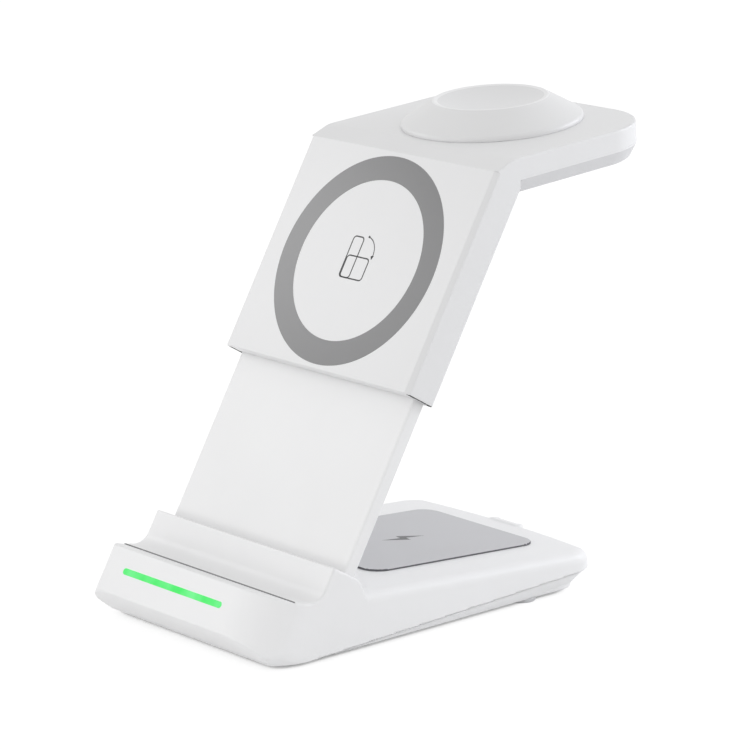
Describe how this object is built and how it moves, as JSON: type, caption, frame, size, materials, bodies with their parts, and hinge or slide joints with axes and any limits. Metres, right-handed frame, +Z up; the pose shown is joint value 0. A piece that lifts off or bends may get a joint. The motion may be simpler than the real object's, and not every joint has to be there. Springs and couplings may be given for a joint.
{
  "type": "three in one wireless charger",
  "caption": "White charging stand: leaning phone panel with a magnetic ring on a sliding column, watch stage on top, earbud pad on the base and a light bar in front.",
  "frame": {"origin": "on the ground, under the middle of the bounding box", "axes": "+Z up, -Y to the front with the light bar, +X to the stand's left as it faces forward; the stand is the same on both sides of X = 0"},
  "size_m": [0.07, 0.1351, 0.1253],
  "materials": {
    "white_plastic": "fine satin",
    "dish": "satin",
    "ring": "satin",
    "grey_pad": "matte",
    "light": "diffuser",
    "foot_rubber": "matte",
    "steel": "plain",
    "magnet": "nickel plated",
    "board": "solder mask",
    "copper": "enamelled copper",
    "ferrite": "plain",
    "ribbon": "film",
    "felt": "felt"
  },
  "bodies": {
    "base": {"base_shell": "white_plastic", "base_cover": "white_plastic", "rubber_feet": "foot_rubber", "base_screws": "steel", "ballast_plate": "steel", "main_board": "board", "board_parts": "ferrite", "usb_c_socket": "steel", "port_board": "board", "light_bar": "light", "light_board": "board", "light_leds": "light", "earbud_pad": "grey_pad", "earbud_coil": "copper", "earbud_ferrite": "ferrite", "column_plate": "white_plastic", "column_bracket": "steel", "bracket_screws": "steel", "column_ribbon": "ribbon", "stop_pins": "steel"},
    "head": {"head_housing": "white_plastic", "front_panel": "white_plastic", "phone_ring": "ring", "ring_magnets": "magnet", "phone_coil": "copper", "phone_ferrite": "ferrite", "coil_carrier": "white_plastic", "friction_pads": "felt", "platform_cover": "white_plastic", "cover_screws": "steel", "head_board": "board", "watch_stage": "white_plastic", "watch_dish": "dish", "watch_coil": "copper", "watch_ferrite": "ferrite", "watch_magnet": "magnet"}
  },
  "joints": [
    {"name": "head_slide", "type": "slide", "parent": "base", "child": "head", "axis": [0, 0.497, 0.8678], "range_m": [-0.042, 0]}
  ]
}
